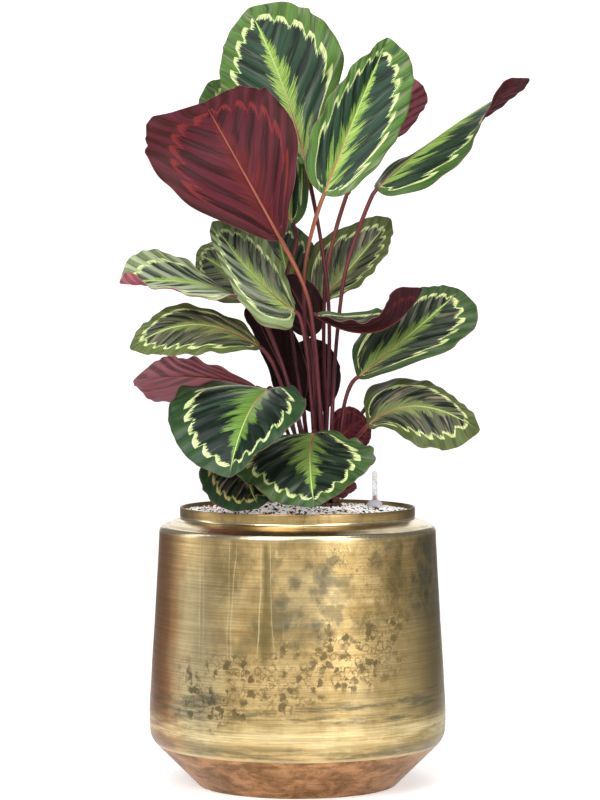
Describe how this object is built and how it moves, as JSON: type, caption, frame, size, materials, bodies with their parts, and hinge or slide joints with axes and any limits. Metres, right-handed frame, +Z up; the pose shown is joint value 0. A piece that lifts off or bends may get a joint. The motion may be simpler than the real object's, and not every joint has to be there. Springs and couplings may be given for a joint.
{
  "type": "potted plant",
  "caption": "Leafy calathea with patterned oval leaves on slim stalks, in a broad round-shouldered brass planter topped with mineral granulate and a float water gauge.",
  "frame": {"origin": "centre of the planter's flat base", "axes": "+Z up, -Y front"},
  "size_m": [0.4975, 0.3814, 0.9591],
  "materials": {
    "brass": "aged, brushed",
    "granulate": "matt, rough",
    "pot_plastic": "matt",
    "roots": "matt",
    "gauge_clear": "clear, gloss",
    "gauge_red": "gloss",
    "leaf": "satin",
    "stalk": "satin"
  },
  "bodies": {
    "root": {"planter": "brass", "granulate_fill": "granulate", "culture_pot": "pot_plastic", "root_ball": "roots", "top_dressing": "granulate", "gauge_tube": "gauge_clear", "gauge_float": "gauge_red", "gauge_collar": "gauge_clear", "leaf_01": "leaf", "leaf_02": "leaf", "leaf_03": "leaf", "leaf_04": "leaf", "leaf_05": "leaf", "leaf_06": "leaf", "leaf_07": "leaf", "leaf_08": "leaf", "leaf_09": "leaf", "leaf_10": "leaf", "leaf_11": "leaf", "leaf_12": "leaf", "leaf_13": "leaf", "leaf_14": "leaf", "leaf_15": "leaf", "leaf_16": "leaf", "leaf_17": "leaf", "leaf_18": "leaf", "leaf_19": "leaf", "leaf_20": "leaf", "leaf_21": "leaf", "leaf_22": "leaf", "leaf_23": "leaf", "leaf_24": "leaf", "leaf_25": "leaf", "leaf_26": "leaf", "stalk_01": "stalk", "stalk_02": "stalk", "stalk_03": "stalk", "stalk_04": "stalk", "stalk_05": "stalk", "stalk_06": "stalk", "stalk_07": "stalk", "stalk_08": "stalk", "stalk_09": "stalk", "stalk_10": "stalk", "stalk_11": "stalk", "stalk_12": "stalk", "stalk_13": "stalk", "stalk_14": "stalk", "stalk_15": "stalk", "stalk_16": "stalk", "stalk_17": "stalk", "stalk_18": "stalk", "stalk_19": "stalk", "stalk_20": "stalk", "stalk_21": "stalk", "stalk_22": "stalk", "stalk_23": "stalk", "stalk_24": "stalk", "stalk_25": "stalk", "stalk_26": "stalk"}
  },
  "joints": []
}
